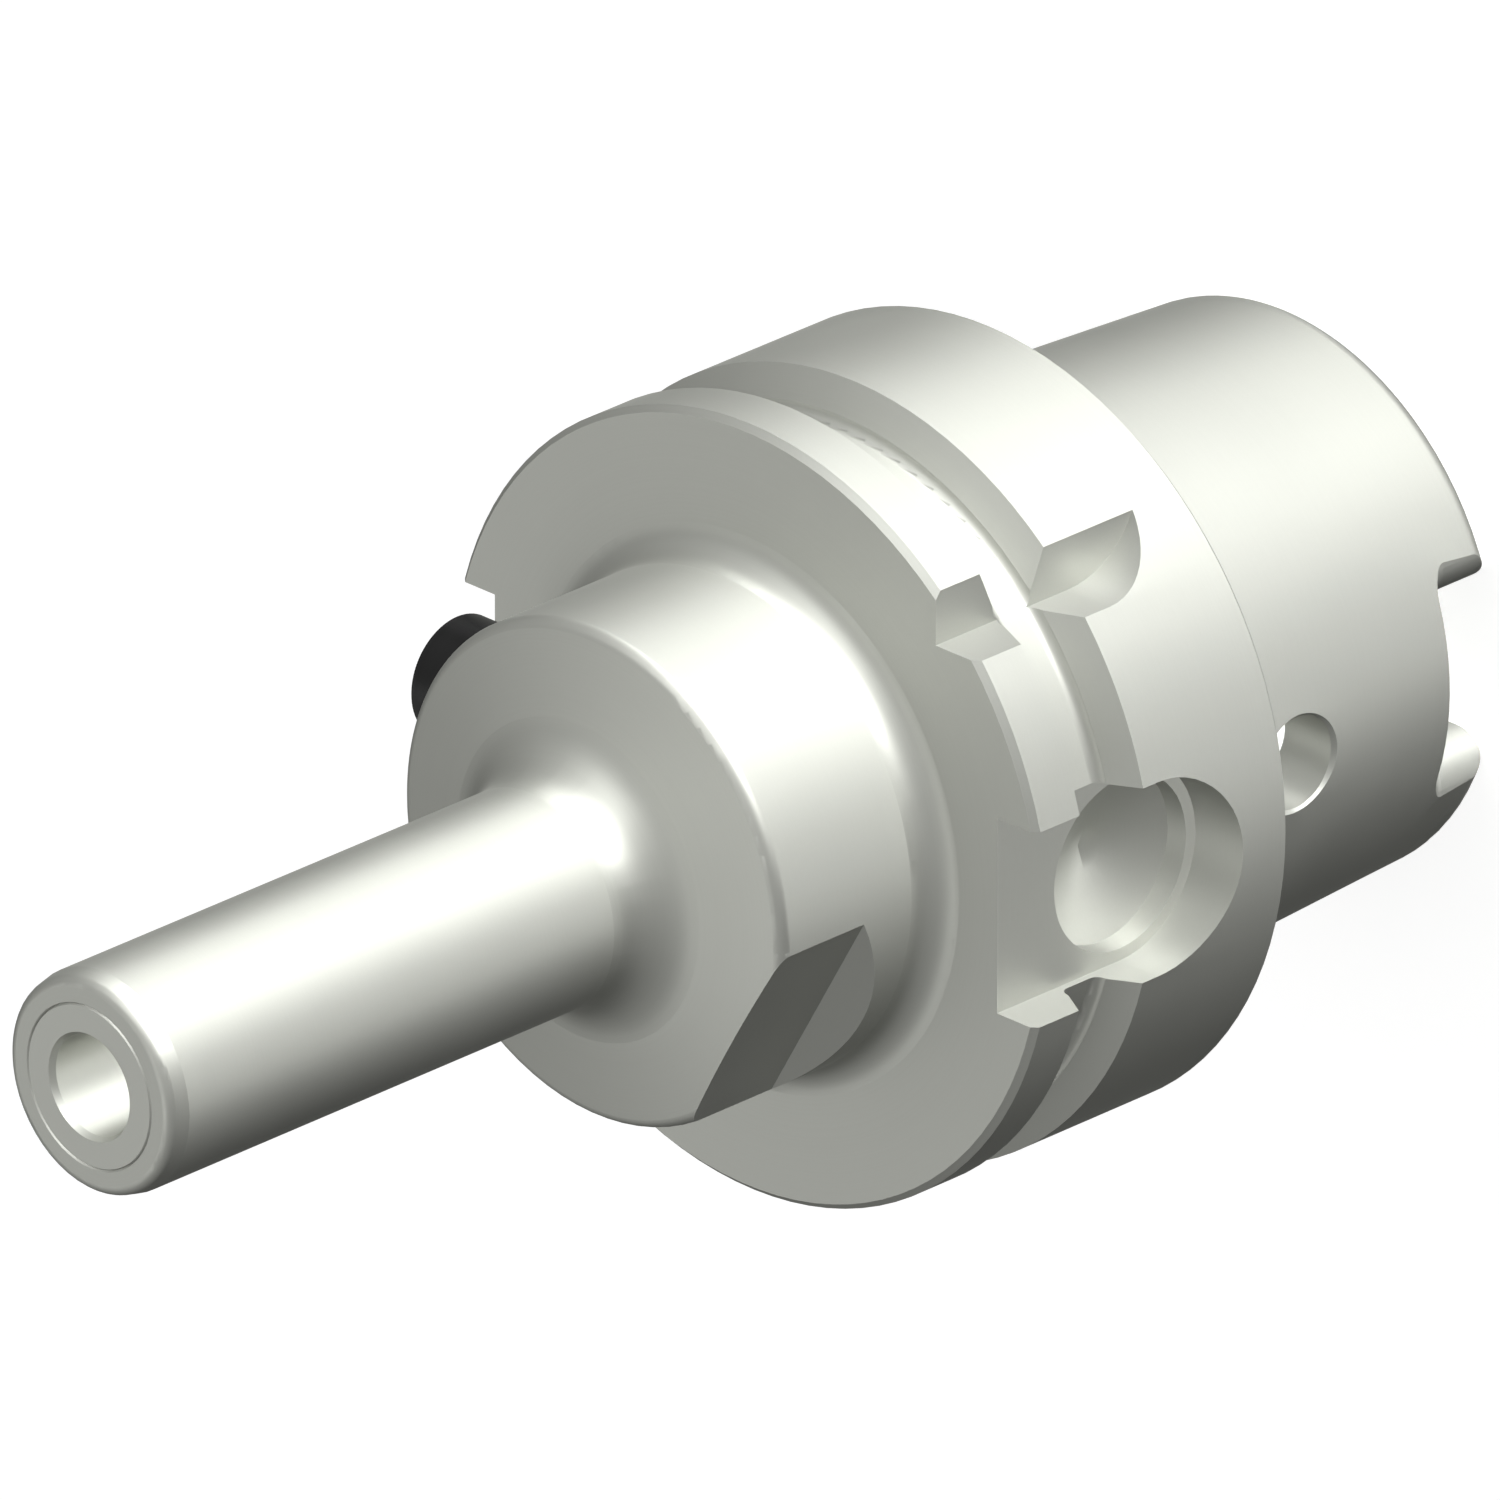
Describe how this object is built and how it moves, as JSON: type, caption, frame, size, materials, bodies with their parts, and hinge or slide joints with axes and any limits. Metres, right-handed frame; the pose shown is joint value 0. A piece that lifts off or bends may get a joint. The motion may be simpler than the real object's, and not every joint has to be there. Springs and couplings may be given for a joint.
{
  "type": "hydraulic chuck",
  "caption": "Hydraulic expansion tool holder with a hollow taper shank, a grooved drive flange, a slim nose and a side clamp screw that squeezes its sleeve onto a round tool shank.",
  "frame": {"origin": "centre of the gauge face, where the taper shank meets the back face of the flange", "axes": "+Z along the spindle axis towards the nose, +X out of the 16 mm keyway, +Y at right angles to both, so that the index notch lies between +X and +Y"},
  "size_m": [0.063, 0.063, 0.1263],
  "materials": {
    "body_steel": "fine turned and ground steel, satin",
    "sleeve_steel": "ground steel, satin",
    "black_screw_steel": "black oxide, satin",
    "ground_steel": "ground and polished",
    "seal_rubber": "matt elastomer"
  },
  "bodies": {
    "chuck": {"base_body": "body_steel", "expansion_sleeve": "sleeve_steel", "bleed_screw": "black_screw_steel", "bleed_ball": "ground_steel"},
    "piston": {"pressure_piston": "ground_steel", "piston_seal": "seal_rubber"},
    "clamp_screw": {"clamp_screw": "black_screw_steel"},
    "length_stop": {"length_stop_screw": "black_screw_steel"}
  },
  "joints": [
    {"name": "piston_slide", "type": "slide", "parent": "chuck", "child": "piston", "axis": [1, 0, 0], "range_m": [0, 0.0033]},
    {"name": "screw_turn", "type": "hinge", "parent": "piston", "child": "clamp_screw", "pos_m": [0, 0.0065, 0.0343], "axis": [1, 0, 0], "range_deg": [0, 1190]},
    {"name": "stop_slide", "type": "slide", "parent": "chuck", "child": "length_stop", "axis": [0, 0, 1], "range_m": [0, 0.01]}
  ],
  "couplings": [
    {"joint": "screw_turn", "follows": "piston_slide", "rad_per_m": 6283.2}
  ]
}
